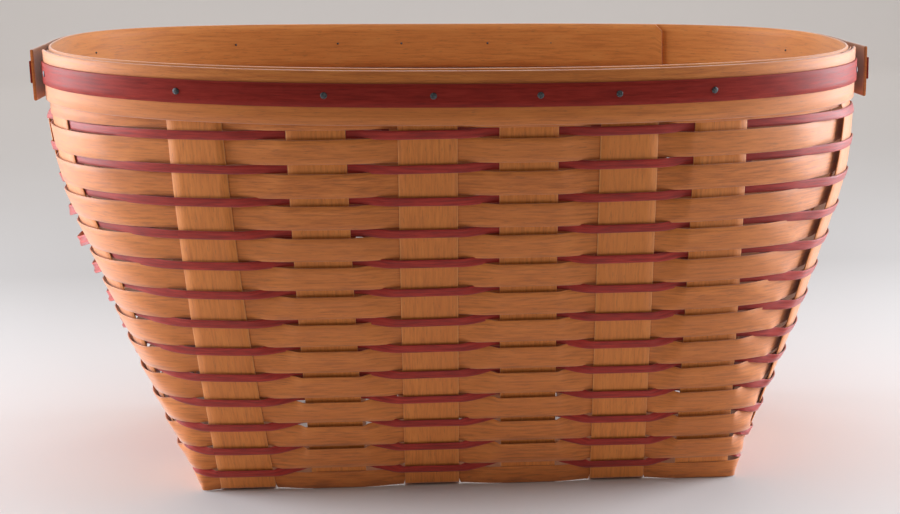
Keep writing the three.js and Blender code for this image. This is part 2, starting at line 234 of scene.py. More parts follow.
def longMiddles(k):
    step = np.arange(longCount) - (longCount - 1) / 2
    onBase = pitchOf(form["baseDepth"], splint["baseLongMargin"], longCount)
    onRim = pitchOf(form["rimDepth"], splint["rimLongMargin"], longCount)
    share = min(k / kShoulder, 1)
    return step * (lerp(onBase, onRim, k) + 4 * splint["endFan"] * share * (1 - share))


# Both edges of uprights centred at given places on one side of a superellipse, as a flat list.
# The half width along the axis is the splint's, shortened where the side runs askew.
def edgePlaces(middles, half, otherHalf, power):
    def outAt(place):
        return otherHalf * (1 - np.abs(place / half) ** power) ** (1 / power)
    nudge = 0.001
    slope = (outAt(middles + nudge) - outAt(middles - nudge)) / (2 * nudge)
    reach = splint["width"] / 2 / np.sqrt(1 + slope ** 2)
    places = np.stack([middles - reach, middles + reach], axis=1).ravel()
    return places, outAt(places)


# One ring of the wall: a superellipse in polar form, walked by arc length.
# Whole numbers of q fall on the edges of the 18 uprights, from the front left one round.
polarStart = -2.65  # radians, short of the first upright at every height
polarSteps = 6000
polar = polarStart + np.linspace(0, 2 * math.pi, polarSteps + 1)
perKnot = 48
wallRows, rimRows = 170, 24
knots = np.arange(turns + 1)
qGrid = np.linspace(0, turns, turns * perKnot + 1)


def ringPoints(k):
    a, b = halfLength(k), halfDepth(k)
    power = form["rimSquareness"] * max(kShoulder / k, 1) ** form["squarenessFall"]
    shift = form["baseShift"] * (1 - k)
    radius = (np.abs(np.cos(polar) / a) ** power + np.abs(np.sin(polar) / b) ** power) ** (-1 / power)
    x = radius * np.cos(polar)
    y = radius * np.sin(polar)
    arc = np.concatenate([[0], np.cumsum(np.hypot(np.diff(x), np.diff(y)))])
    crossX, crossY = edgePlaces(crossMiddles(k) - shift, a, b, power)
    longY, longX = edgePlaces(longMiddles(k), b, a, power)
    edgeX = np.concatenate([crossX, longX, crossX[::-1], -longX[::-1]])
    edgeY = np.concatenate([-crossY, longY, crossY[::-1], longY[::-1]])
    edgePolar = (np.arctan2(edgeY, edgeX) - polarStart) % (2 * math.pi) + polarStart
    edgeArc = np.interp(edgePolar, polar, arc)
    edgeArc = np.append(edgeArc, edgeArc[0] + arc[-1])
    place = np.interp(qGrid, knots, edgeArc) % arc[-1]
    x = np.interp(place, arc, x)
    y = np.interp(place, arc, y)
    # the rim sags along its long sides and leans to the right, and the rows dip towards the ends
    rightwards = x / a
    dip = form["endDip"] * min(k / kShoulder, (1 - k) / (1 - kShoulder))
    tilt = form["rimTilt"] * max((k - kShoulder) / (1 - kShoulder), 0)
    z = k * (form["height"] - form["rimSag"] * (1 - rightwards ** 2))
    z = z - dip * rightwards ** 2 - tilt * rightwards
    return np.stack([x + shift, y, z], axis=1)


heights = np.concatenate([np.linspace(kBend / 2, kShoulder, wallRows),
                          np.linspace(kShoulder, kHighest, rimRows)[1:]])
wallPlaces = np.array([ringPoints(k) for k in heights])
padded = np.concatenate([wallPlaces[:, -3:-1], wallPlaces, wallPlaces[:, 1:3]], axis=1)
alongWall = np.gradient(padded, axis=1)[:, 2:-2]
wallOut = np.cross(alongWall, np.gradient(wallPlaces, axis=0))
wallOut /= np.linalg.norm(wallOut, axis=2, keepdims=True)
print("wall worked out at", len(heights), "heights")


# Place and outward direction of the wall at height share k and upright count q, between table entries.
def wallAt(k, q):
    k, q = np.broadcast_arrays(np.asarray(k, float), np.asarray(q, float))
    row = np.clip(np.searchsorted(heights, k) - 1, 0, len(heights) - 2)
    up = ((k - heights[row]) / (heights[row + 1] - heights[row]))[..., None]
    column = (q % turns) * perKnot
    left = np.minimum(np.floor(column).astype(int), turns * perKnot - 1)
    along = (column - left)[..., None]

    def between(table):
        low = lerp(table[row, left], table[row, left + 1], along)
        high = lerp(table[row + 1, left], table[row + 1, left + 1], along)
        return lerp(low, high, up)
    return between(wallPlaces), between(wallOut)


# +1 where a hoop passes outside an upright and -1 inside: natural hoops outside the odd uprights, red ones
# outside the even. Between uprights it changes over smoothly, centred at a share turnAt of the way from the
# even upright to the odd one.
def weaveSide(q, natural, turnAt):
    upright = np.floor((q % turns) / 2)
    pastUpright = np.clip(q % turns - 2 * upright - 1, 0, 1)
    fromEven = np.where(upright % 2 == 0, pastUpright, 1 - pastUpright)
    reach = np.minimum(turnAt, 1 - turnAt)
    evenSide = 1 - 2 * smoothStep(turnAt - reach, turnAt + reach, fromEven)
    return -evenSide if natural else evenSide


# Uprights that bow out from the weave, and where the red strips stand out in loops at the left end.
# The reach is in metres, low to gone are shares of the height, and at and half are counted in q.
bows = [
    {"upright": 16, "reach": 0.0065, "low": 0.50, "full": 0.74},
    {"upright": 7, "reach": 0.0065, "low": 0.56, "full": 0.76},
    {"upright": 6, "reach": 0.0040, "low": 0.10, "full": 0.40},
]
bowEnd, bowGone = 0.850, 0.885
bowSpread = 0.55  # counted in q as well
redLoop = {
    "at": 32.9,
    "half": 0.25,
    "reach": 0.0145,
    "low": 0.07,
    "full": 0.20,
    "fading": 0.58,
    "gone": 0.70,
}


# 1 within half of a place round the hoop, fading away smoothly to both sides.
def nearPlace(q, at, half):
    aside = np.abs((q - at + turns / 2) % turns - turns / 2) - half
    return 1 - smoothStep(0, bowSpread, aside)


# How far the uprights bow out at height share k.
def bowAt(k, q):
    total = np.zeros(np.broadcast(k, q).shape)
    for bow in bows:
        rise = smoothStep(bow["low"], bow["full"], k) * (1 - smoothStep(bowEnd, bowGone, k))
        total = total + bow["reach"] * rise * nearPlace(q, middleOf(bow["upright"]), 0.5)
    return total


# How far the red strips stand out in loops, lower down.
def loopAt(k, q):
    fade = 1 - smoothStep(redLoop["fading"], redLoop["gone"], k)
    rise = smoothStep(redLoop["low"], redLoop["full"], k) * fade
    return redLoop["reach"] * rise * nearPlace(q, redLoop["at"], redLoop["half"])


# Slow random wave round the hoop: the sum of sines of 1 to 7 whole turns, the quicker ones smaller,
# divided by about the size that such a sum has.
waveCount = 7
waveSize = 1.6


def hoopWave(q, size):
    turn = np.arange(1, waveCount + 1)[:, None]
    swing = draw.normal(0, 1, (waveCount, 1)) / np.sqrt(turn)
    start = draw.uniform(0, 2 * math.pi, (waveCount, 1))
    waves = swing * np.sin(turn * q[None, :] * 2 * math.pi / turns + start)
    return size * waves.sum(axis=0) / waveSize


# Places across a strip from -0.5 to 0.5 of its width, with one close to each edge for the rounding.
def acrossPlaces(width, rounding, columns):
    inner = np.linspace(rounding / width - 0.5, 0.5 - rounding / width, columns)
    return np.concatenate([[-0.5], inner, [0.5]])


# Steps along a hoop: finer in the gaps between uprights, finest round the corners.
hoop = {
    "onUpright": 10,
    "inGap": 24,
    "inCorner": 40,
    "leastStep": 0.01,
}


def hoopSteps(first, last):
    steps = []
    for gap in range(int(first // 2) - 1, int(last // 2) + 2):
        between = hoop["inCorner"] if gap % (lastLeft + 1) in cornerGaps else hoop["inGap"]
        steps.append(2 * gap + np.linspace(0, 1, hoop["onUpright"], endpoint=False))
        steps.append(2 * gap + 1 + np.linspace(0, 1, between, endpoint=False))
    steps = np.concatenate(steps)
    inside = steps[(steps > first + hoop["leastStep"]) & (steps < last - hoop["leastStep"])]
    return np.concatenate([[first], inside, [last]])


grainReach = 40.0  # each strip's grain starts somewhere along these metres
sharpAngle = math.radians(50)


# A strip of wood from the grid of its middle surface: both faces stand half the thickness off along
# the surface's own normal, and the edge columns stand off less, which rounds the edges.
def stripPiece(name, grid, across, thickness, rounding, closed, finish):
    count, columns = grid.shape[:2]
    if closed:
        padded = np.concatenate([grid[-2:], grid, grid[:2]])
        along = np.gradient(padded, axis=0)[2:-2]
    else:
        along = np.gradient(grid, axis=0)
    out = np.cross(along, np.gradient(grid, axis=1))
    out /= np.linalg.norm(out, axis=2, keepdims=True)
    half = np.full(columns, thickness / 2)
    half[[0, -1]] -= rounding
    faceOut = grid + out * half[None, :, None]
    faceIn = grid - out * half[None, :, None]
    points = np.concatenate([faceOut, faceIn[:, ::-1]], axis=1)
    loop = 2 * columns
    lengths = np.linalg.norm(np.diff(grid[:, columns // 2], axis=0), axis=1)
    run = np.concatenate([[0], np.cumsum(lengths)]) + draw.uniform(0, grainReach)
    closing = run[-1] + np.linalg.norm(grid[0, columns // 2] - grid[-1, columns // 2])
    rows = np.arange(count if closed else count - 1)[:, None]
    sides = np.arange(loop)[None, :]
    nextRow = (rows + 1) % count
    nextSide = (sides + 1) % loop
    quads = np.stack([
        rows * loop + sides, nextRow * loop + sides,
        nextRow * loop + nextSide, rows * loop + nextSide], axis=-1).reshape(-1, 4)
    faces = quads.tolist()
    if not closed:
        faces.append(list(range(loop)))
        faces.append(list(range((count - 1) * loop, count * loop))[::-1])
    mesh = bpy.data.meshes.new(name)
    mesh.from_pydata(points.reshape(-1, 3).tolist(), [], faces)
    # U runs along the strip and V across it, both in metres
    vLoop = np.concatenate([across, across[::-1]])
    runNext = np.append(run[1:], closing)[: len(rows)]
    uCorner = np.stack([run[: len(rows)], runNext, runNext, run[: len(rows)]], axis=-1)
    uCorner = np.repeat(uCorner[:, None, :], loop, axis=1)
    vCorner = np.stack([vLoop, vLoop, np.roll(vLoop, -1), np.roll(vLoop, -1)], axis=-1)
    vCorner = np.repeat(vCorner[None, :, :], len(rows), axis=0)
    uvs = np.stack([uCorner, vCorner], axis=-1).reshape(-1, 2)
    if not closed:
        endUvs = np.stack([np.full(loop, run[0]), vLoop], axis=-1)
        farUvs = np.stack([np.full(loop, run[-1]), vLoop[::-1]], axis=-1)
        uvs = np.concatenate([uvs, endUvs, farUvs])
    layer = mesh.uv_layers.new(name="strip")
    layer.data.foreach_set("uv", uvs.astype(np.float32).ravel())
    edge = np.abs(across) / np.abs(across).max()
    edgeLoop = np.concatenate([edge, edge[::-1]])
    marks = mesh.attributes.new("edge", "FLOAT", "POINT")
    marks.data.foreach_set("value", np.tile(edgeLoop, count).astype(np.float32))
    inner = mesh.attributes.new("inner", "FLOAT", "POINT")
    inner.data.foreach_set("value", np.tile(np.repeat([0.0, 1.0], columns), count).astype(np.float32))
    tint = mesh.attributes.new("tint", "FLOAT", "POINT")
    tint.data.foreach_set("value", np.full(count * loop, draw.uniform(-1, 1), np.float32))
    return finishPiece(name, mesh, finish)


# Turns the faces outwards where the signed volume is negative, then hangs the piece on its body.
def finishPiece(name, mesh, finish):
    points = np.empty(len(mesh.vertices) * 3)
    mesh.vertices.foreach_get("co", points)
    mesh.calc_loop_triangles()
    corners = np.empty(len(mesh.loop_triangles) * 3, int)
    mesh.loop_triangles.foreach_get("vertices", corners)
    a, b, c = points.reshape(-1, 3)[corners.reshape(-1, 3)].transpose(1, 0, 2)
    if np.einsum("ij,ij->i", a, np.cross(b, c)).sum() < 0:
        mesh.flip_normals()
    mesh.polygons.foreach_set("use_smooth", np.ones(len(mesh.polygons), bool))
    mesh.set_sharp_from_angle(angle=sharpAngle)
    mesh.materials.append(finish)
    mesh.validate()
    piece = bpy.data.objects.new(name + ".look", mesh)
    bpy.context.scene.collection.objects.link(piece)
    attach(piece, "root")
    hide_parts(name)
    return piece


# Wood and steel finishes.
def startFinish(name):
    material = bpy.data.materials.new(name)
    material.use_nodes = True
    tree = material.node_tree
    return material, tree.nodes, tree.links, tree.nodes["Principled BSDF"]


def stretchedNoise(nodes, links, source, scale, detail, roughness):
    mapping = nodes.new("ShaderNodeMapping")
    mapping.inputs["Scale"].default_value = scale
    links.new(source, mapping.inputs["Vector"])
    noise = nodes.new("ShaderNodeTexNoise")
    noise.inputs["Scale"].default_value = 1.0
    noise.inputs["Detail"].default_value = detail
    noise.inputs["Roughness"].default_value = roughness
    links.new(mapping.outputs["Vector"], noise.inputs["Vector"])
    return noise.outputs["Fac"]


def ramp(nodes, links, source, stops):
    node = nodes.new("ShaderNodeValToRGB")
    elements = node.color_ramp.elements
    while len(elements) < len(stops):
        elements.new(0.5)
    for element, (place, colour) in zip(elements, stops):
        element.position = place
        element.color = (*colour, 1.0)
    links.new(source, node.inputs["Fac"])
    return node.outputs["Color"]


def rangeOf(nodes, links, source, low, high, newLow, newHigh):
    node = nodes.new("ShaderNodeMapRange")
    node.inputs["From Min"].default_value = low
    node.inputs["From Max"].default_value = high
    node.inputs["To Min"].default_value = newLow
    node.inputs["To Max"].default_value = newHigh
    links.new(source, node.inputs["Value"])
    return node.outputs["Result"]


def mixColour(nodes, links, share, first, second):
    node = nodes.new("ShaderNodeMix")
    node.data_type = "RGBA"
    sockets = [s for s in node.inputs if s.enabled]
    links.new(share, sockets[0])
    for socket, value in zip(sockets[1:], (first, second)):
        if isinstance(value, tuple):
            socket.default_value = (*value, 1.0)
        else:
            links.new(value, socket)
    return [s for s in node.outputs if s.enabled][0]


def attribute(nodes, name):
    node = nodes.new("ShaderNodeAttribute")
    node.attribute_name = name
    return node.outputs["Fac"]


# Straight-grained wood: long streaks and short dark pores along the strip, slow clouds of tone,
# a tint of its own for each strip, a tone along the edges (darker on bare wood, worn lighter on the red
# stain, a painted highlight on the splints), and painted shade on the inner face.
def woodFinish(look):
    material, nodes, links, shader = startFinish(look["name"])
    strip = nodes.new("ShaderNodeUVMap")
    strip.uv_map = "strip"
    source = strip.outputs["UV"]
    streaks = stretchedNoise(nodes, links, source, look["streakScale"], *look["streakDetail"])
    pores = stretchedNoise(nodes, links, source, look["poreScale"], *look["poreDetail"])
    clouds = stretchedNoise(nodes, links, source, look["cloudScale"], *look["cloudDetail"])
    tones = (look["dark"], look["middle"], look["light"])
    colour = ramp(nodes, links, streaks, list(zip(look["streakStops"], tones)))
    cloudShare = rangeOf(nodes, links, clouds, *look["cloudSpan"], 0.0, look["cloud"])
    colour = mixColour(nodes, links, cloudShare, colour, look["cloudTone"])
    tintShare = rangeOf(nodes, links, attribute(nodes, "tint"), -1, 1, 0.0, look["tint"])
    colour = mixColour(nodes, links, tintShare, colour, look["tintTone"])
    poreShare = rangeOf(nodes, links, pores, *look["poreSpan"], 0.0, look["pore"])
    colour = mixColour(nodes, links, poreShare, colour, look["poreTone"])
    # tone along the edges, broken up by the clouds: darker on bare wood, worn lighter on the stain, and a
    # painted highlight on the splints
    edgeShare = rangeOf(nodes, links, attribute(nodes, "edge"), look["edgeFrom"], 1.0, 0.0, look["edgeWearAndHighlight"])
    broken = nodes.new("ShaderNodeMath")
    broken.operation = "MULTIPLY"
    links.new(edgeShare, broken.inputs[0])
    links.new(rangeOf(nodes, links, clouds, *look["edgeWearAndHighlightSpan"], look["leastEdgeWearAndHighlight"], 1.0), broken.inputs[1])
    colour = mixColour(nodes, links, broken.outputs[0], colour, look["edgeWearAndHighlightTone"])
    # painted shade on the faces that look towards the wall, where the gaps between strips lie in shade
    innerShare = rangeOf(nodes, links, attribute(nodes, "inner"), 0, 1, 0.0, look["innerPaintedShade"])
    colour = mixColour(nodes, links, innerShare, colour, look["innerPaintedShadeTone"])
    links.new(colour, shader.inputs["Base Color"])
    roughness = rangeOf(nodes, links, streaks, *look["roughSpan"], look["roughLow"], look["roughHigh"])
    links.new(roughness, shader.inputs["Roughness"])
    height = nodes.new("ShaderNodeMath")
    height.operation = "SUBTRACT"
    links.new(streaks, height.inputs[0])
    links.new(poreShare, height.inputs[1])
    bump = nodes.new("ShaderNodeBump")
    bump.inputs["Strength"].default_value = look["bump"]
    bump.inputs["Distance"].default_value = look["grainDepth"]
    links.new(height.outputs[0], bump.inputs["Height"])
    links.new(bump.outputs["Normal"], shader.inputs["Normal"])
    shader.inputs["Specular IOR Level"].default_value = look["specular"]
    shader.inputs["Sheen Weight"].default_value = look["sheen"]
    shader.inputs["Sheen Roughness"].default_value = look["sheenRoughness"]
    return material


# Bare wood as on the natural weavers. The splints and bands change its tones, and some edges and streaks.
# A detail is a noise's octaves and how rough they are, and a span is the stretch of it that is used.
honey = {
    "streakScale": (38.0, 460.0, 1.0),
    "streakDetail": (6, 0.62),
    "streakStops": (0.36, 0.50, 0.65),
    "poreScale": (110.0, 900.0, 1.0),
    "poreDetail": (2, 0.5),
    "poreSpan": (0.60, 0.72),
    "cloudScale": (4.0, 26.0, 1.0),
    "cloudDetail": (3, 0.55),
    "cloudSpan": (0.35, 0.70),
    "dark": (0.50, 0.128, 0.014),
    "middle": (0.73, 0.206, 0.026),
    "light": (0.85, 0.276, 0.046),
    "cloud": 0.55,
    "cloudTone": (0.58, 0.150, 0.018),
    "tint": 0.35,
    "tintTone": (0.81, 0.255, 0.042),
    "pore": 0.35,
    "poreTone": (0.26, 0.075, 0.022),
    "edgeFrom": 0.90,
    "edgeWearAndHighlight": 0.35,
    "edgeWearAndHighlightTone": (0.36, 0.112, 0.032),
    "edgeWearAndHighlightSpan": (0.35, 0.65),
    "leastEdgeWearAndHighlight": 0.25,
    "roughSpan": (0.3, 0.7),
    "roughLow": 0.46,
    "roughHigh": 0.60,
    "bump": 0.32,
    "grainDepth": 0.0004,
    "specular": 0.42,
    "sheen": 0.56,
    "sheenRoughness": 0.5,
    # painted shade on the inner faces, seen in the gaps and at the rim's standing ends
    "innerPaintedShade": 0.75,
    "innerPaintedShadeTone": (0.20, 0.062, 0.012),
}
# The splints' light edges are a painted highlight along them.
splintWood = woodFinish({
    **honey, "name": "splint_wood",
    "dark": (0.64, 0.174, 0.020), "middle": (0.82, 0.248, 0.034), "light": (0.90, 0.306, 0.052),
    "cloudTone": (0.70, 0.190, 0.024), "tintTone": (0.88, 0.290, 0.046),
    "edgeFrom": 0.955, "edgeWearAndHighlight": 0.75, "edgeWearAndHighlightTone": (0.95, 0.46, 0.13)})
weaverWood = woodFinish({**honey, "name": "weaver_wood"})
band = {
    **honey, "streakScale": (26.0, 380.0, 1.0), "tint": 0.2,
    "dark": (0.58, 0.154, 0.020), "middle": (0.77, 0.226, 0.032), "light": (0.87, 0.292, 0.052),
    "cloudTone": (0.64, 0.172, 0.024),
}
# the outer bands keep the painted shade on their inner faces, which shows at the standing ends
outerBandWood = woodFinish({**band, "name": "outer_band_wood"})
# The inner band's tones are lighter than the outer bands': painted light for the lit inside of the basket.
innerBandPaintedLightWood = woodFinish({
    **band, "name": "inner_band_painted_light_wood", "innerPaintedShade": 0.0,
    "dark": (0.70, 0.218, 0.036), "middle": (0.89, 0.310, 0.056), "light": (0.95, 0.372, 0.078),
    "cloudTone": (0.77, 0.250, 0.044)})

# Red stain on the same wood.
stain = {
    **honey,
    "dark": (0.24, 0.012, 0.006), "middle": (0.36, 0.022, 0.011), "light": (0.46, 0.036, 0.020),
    "cloud": 0.4, "cloudTone": (0.20, 0.013, 0.009), "tint": 0.25, "tintTone": (0.31, 0.025, 0.017),
    "pore": 0.35, "poreTone": (0.10, 0.010, 0.008), "edgeFrom": 0.84, "edgeWearAndHighlight": 0.3,
    "edgeWearAndHighlightTone": (0.38, 0.060, 0.042), "innerPaintedShadeTone": (0.10, 0.010, 0.006),
    "roughLow": 0.42, "roughHigh": 0.56, "bump": 0.26,
}
trimStain = woodFinish({
    **stain, "name": "trim_stain", "specular": 0.20, "sheen": 0.03, "roughHigh": 0.55})
redStain = woodFinish({
    **stain, "name": "red_stain", "specular": 0.30, "sheen": 0.34,
    "dark": (0.28, 0.011, 0.006), "middle": (0.46, 0.022, 0.010), "light": (0.62, 0.044, 0.022)})


# Dull steel: fine mottling of tone and roughness with small dents.
steel = {
    "mottleScale": (900.0, 900.0, 900.0),
    "mottleDetail": (3, 0.55),
    "tones": [(0.35, (0.05, 0.05, 0.053)), (0.68, (0.20, 0.20, 0.205))],
    "roughSpan": (0.3, 0.7),
    "roughLow": 0.42,
    "roughHigh": 0.65,
    "metallic": 0.9,
    "bump": 0.3,
    "dentDepth": 0.0002,
}


def steelFinish():
    material, nodes, links, shader = startFinish("nail_steel")
    place = nodes.new("ShaderNodeTexCoord").outputs["Object"]
    mottle = stretchedNoise(nodes, links, place, steel["mottleScale"], *steel["mottleDetail"])
    links.new(ramp(nodes, links, mottle, steel["tones"]), shader.inputs["Base Color"])
    roughness = rangeOf(nodes, links, mottle, *steel["roughSpan"], steel["roughLow"], steel["roughHigh"])
    links.new(roughness, shader.inputs["Roughness"])
    shader.inputs["Metallic"].default_value = steel["metallic"]
    bump = nodes.new("ShaderNodeBump")
    bump.inputs["Strength"].default_value = steel["bump"]
    bump.inputs["Distance"].default_value = steel["dentDepth"]
    links.new(mottle, bump.inputs["Height"])
    links.new(bump.outputs["Normal"], shader.inputs["Normal"])
    return material


nailSteel = steelFinish()
print("finishes made")


# A weaver: the wall's surface at its row, set in and out round the uprights.
# Crowded strips turn in the gaps like shingles: a natural one's low edge changes sides late and its top
# edge early, and a red one does the opposite and swings by its smile from under the strip above. Outside an
# upright the top edge gapes, the strip follows an upright that bows, and red strips stand out in loops at the
# left end. The lowest strip's low edge reaches down by its foot, nearly to the floor, except behind uprights.
def addWeaver(name, middle, height, natural, smile, crowd, gape, foot, finish):
    q = hoopSteps(0, turns)[:-1]
    share = acrossPlaces(height, weave["rounding"], weave["columns"])
    inCorner = np.isin(np.floor((q % turns) / 2), cornerGaps)
    turn = np.where(inCorner & natural, lerp(weave["cornerTurn"], 0.5, crowd), 0.5)
    skew = weave["skew"] * crowd * (1 if natural else -1)
    turnAt = np.clip(turn[:, None] + skew * share[None, :], weave["turnMargin"], 1 - weave["turnMargin"])
    side = weaveSide(q[:, None], natural, turnAt)
    fromOdd = np.abs((q - 0.5) % 4 - 2)
    swing = 1 - 2 * smoothStep(weave["swingFrom"], weave["swingTo"], fromOdd)
    rise = hoopWave(q, weave["wander"]) + smile * swing
    most = np.clip(middle + rise - height / 2 - weave["footGap"], 0, foot)[:, None]
    nearLowEdge = np.clip(-4 * share[None, :] - 1, 0, 1)  # 1 at the low edge, 0 a quarter of the width up
    lower = most * smoothStep(-1.0, weave["footSide"], side) * nearLowEdge
    k = (middle + rise[:, None] + share[None, :] * height - lower) / form["height"]
    outside = np.clip(side, 0, 1)
    proud = outside * weave["outside"] - np.clip(-side, 0, 1) * weave["inside"]
    proud = proud + hoopWave(q, weave["flutter"])[:, None]
    proud = proud + outside ** 2 * (gape * (share[None, :] + 0.5) + bowAt(k, q[:, None]))
    if not natural:
        proud = proud + outside ** 2 * loopAt(k, q[:, None])
    place, out = wallAt(k, q[:, None])
    grid = place + out * proud[..., None]
    return stripPiece(name, grid, share * height, weave["thickness"], weave["rounding"], True, finish)


# Natural strips fill the rows between the red ones. Lower down the rows crowd, and the strips lap.
redLine = np.concatenate([[redRows[0] + topPitch], redRows, [bendTop - weave["redHeight"] / 2]])
lastRow = weave["redCount"]
gaps = []
for row in range(lastRow + 1):
    above, below = redLine[row], redLine[row + 1]
    height = min(weave["naturalHeight"], above - below - weave["leastGap"])
    if row == lastRow:
        height = above - below - weave["redHeight"]
    gaps.append(above - below - height)
    crowd = np.clip((weave["redHeight"] - gaps[row]) / 2 / weave["fullCrowd"], 0, 1)
    gape = 0 if row in (0, lastRow) else lerp(weave["gapeTop"], weave["gapeLow"], row / lastRow)
    foot = weave["foot"] if row == lastRow else 0.0
    addWeaver(f"natural_weaver_{row + 1:02d}", (above + below) / 2, height, True, 0.0,
              crowd, gape, foot, weaverWood)
for row, middle in enumerate(redRows):
    overlap = max(weave["redHeight"] - gaps[row], 0) / 2
    crowd = np.clip(overlap / weave["fullCrowd"], 0, 1)
    gape = lerp(weave["gapeTop"], weave["gapeLow"], row / lastRow) / 2
    addWeaver(f"red_weaver_{row + 1:02d}", middle, weave["redHeight"], False, overlap + weave["spare"],
              crowd, gape, 0.0, redStain)
print("weavers made")


# A splint: down one wall, round the bend, over and under in the base, and up the other wall.
# Levels in the base change by smooth steps between the crossings.
def addSplint(name, startUpright, finishUpright, crossings, overFirst, axis):
    across = acrossPlaces(splint["width"], splint["rounding"], splint["columns"])
    qStart = middleOf(startUpright) + across
    qFinish = middleOf(finishUpright) - across
    k = np.linspace(kTop, kBend, splint["wallSteps"])[:, None]
    place, out = wallAt(k, qStart[None, :])
    down = place + out * bowAt(k, qStart[None, :])[..., None]
    place, out = wallAt(k[::-1], qFinish[None, :])
    rising = place + out * bowAt(k[::-1], qFinish[None, :])[..., None]
    over = np.where((np.arange(len(crossings)) + overFirst) % 2 == 0, 1.0, -1.0)
    level = over * matOffset + matMiddle
    nearFoot, farFoot = down[-1], rising[0]
    t = np.linspace(0, 1, splint["bendSteps"])[1:, None, None]
    inward = np.zeros(3)
    inward[axis] = np.sign(farFoot[len(across) // 2, axis] - nearFoot[len(across) // 2, axis])

    # a quadratic curve from the wall's foot to the base, with its corner below the foot
    def bend(foot, towards, atLevel):
        corner = foot * np.array([1, 1, 0]) + np.array([0, 0, atLevel])
        flat = corner + towards * splint["bendRadius"]
        return (1 - t) ** 2 * foot + 2 * t * (1 - t) * corner + t ** 2 * flat
    nearBend = bend(nearFoot, inward, level[0])
    farBend = bend(farFoot, -inward, level[-1])[::-1]
    share = np.linspace(0, 1, splint["baseSteps"])[1:-1, None, None]
    flat = lerp(nearBend[-1], farBend[0], share)
    height = np.full(flat.shape[:2], level[0])
    halfWidth = splint["width"] / 2
    for i in range(len(crossings) - 1):
        start = crossings[i] + inward[axis] * halfWidth
        end = crossings[i + 1] - inward[axis] * halfWidth
        height += (level[i + 1] - level[i]) * smoothStep(start, end, flat[..., axis])
    flat[..., 2] = height
    grid = np.concatenate([down, nearBend, flat, farBend, rising])
    return stripPiece(name, grid, across * splint["width"], splint["thickness"], splint["rounding"], False,
                      splintWood)


for i in range(crossCount):
    addSplint(f"cross_splint_{i + 1}", i, lastBack - i, longMiddles(0), i, 1)
for j in range(longCount):
    addSplint(f"long_splint_{j + 1}", lastLeft - j, crossCount + j, crossMiddles(0), j + 1, 0)
print("splints made")


# Height share at a drop below the rim, which is straight above the shoulder.
def shareAtDrop(q, drop):
    top = wallAt(np.ones_like(q), q)[0][..., 2]
    shoulder = wallAt(np.full_like(q, kShoulder), q)[0][..., 2]
    return 1 - (1 - kShoulder) * drop / (top - shoulder)


# Points of the rim at a drop below its edge and an offset out of the wall.
def rimGrid(q, drop, offset):
    q, drop, offset = np.broadcast_arrays(q, drop, offset)
    place, out = wallAt(shareAtDrop(q, drop), q)
    return place + out * offset[..., None]


# The inner band is one strip that laps over itself at the back, with the top corner of its end cut off.
def addInnerBand():
    height, thickness = rim["bandHeight"], rim["bandThickness"]
    start = rim["lapStart"]
    q = hoopSteps(start, start + turns + rim["lapSpare"])
    middle = rimGrid(q, height / 2, 0.0)
    run = np.concatenate([[0], np.cumsum(np.linalg.norm(np.diff(middle, axis=0), axis=1))])
    whole = np.interp(start + turns, q, run)
    keep = run < whole + rim["lapTail"]
    q, run = q[keep], run[keep]
    # closer steps over the cut corner
    near = np.linspace(0, rim["lapChamfer"] * rim["lapEndReach"], rim["lapEndSteps"])
    qNear = np.interp(near, run, q)
    beyond = q > qNear[-1] + hoop["leastStep"]
    q = np.concatenate([qNear, q[beyond]])
    run = np.concatenate([near, run[beyond]])
    across = acrossPlaces(height, rim["bandRounding"], rim["bandColumns"])
    cut = np.clip(rim["lapChamfer"] - run, 0, None)[:, None]
    drop = cut + (height - cut) * (0.5 - across[None, :])
    lapEnd = rim["lapLength"] + rim["lapEase"]
    lift = thickness * rim["lapLift"] * (1 - smoothStep(rim["lapLength"], lapEnd, run))
    offset = -(rim["bandInside"] + thickness / 2 + lift)[:, None]
    grid = rimGrid(q[:, None], drop, offset)
    return stripPiece("inner_band", grid, across * height, thickness, rim["bandRounding"], False,
                      innerBandPaintedLightWood)


# Outer halves. The front ones end at the first upright of each end, under the back ones, which leave
# the wall at the middle upright and run on straight, swinging out a little.
def halfGrid(half, dropTop, dropLow, offset, across):
    drop = lerp(dropTop, dropLow, 0.5 - across)[None, :]
    if half == "front":
        q = hoopSteps(2.0 * lastLeft - turns, 2.0 * crossCount + 1)
        return rimGrid(q[:, None], drop, offset)
    rightMiddle = middleOf(lastFront + 1 + longCount // 2)
    leftMiddle = middleOf(lastBack + 1 + longCount // 2)
    grid = rimGrid(hoopSteps(rightMiddle, leftMiddle)[:, None], drop, offset)
    straightLength = splint["width"] / 2 + rim["standingLength"]
    distance = np.linspace(0, straightLength, rim["standingSteps"])[1:, None, None]
    swing = math.radians(rim["standingAngle"])
    beyond = np.clip(distance - splint["width"] / 2, 0, None)

    def standing(end, before, sideways):
        along = (end - before) * np.array([1, 1, 0])
        along /= np.linalg.norm(along, axis=1, keepdims=True)
        out = np.array([sideways, 0.0, 0.0])
        return end + along * distance + out * (beyond * math.sin(swing))
    rightEnd = standing(grid[0], grid[1], 1.0)[::-1]
    leftEnd = standing(grid[-1], grid[-2], -1.0)
    return np.concatenate([rightEnd, grid, leftEnd])


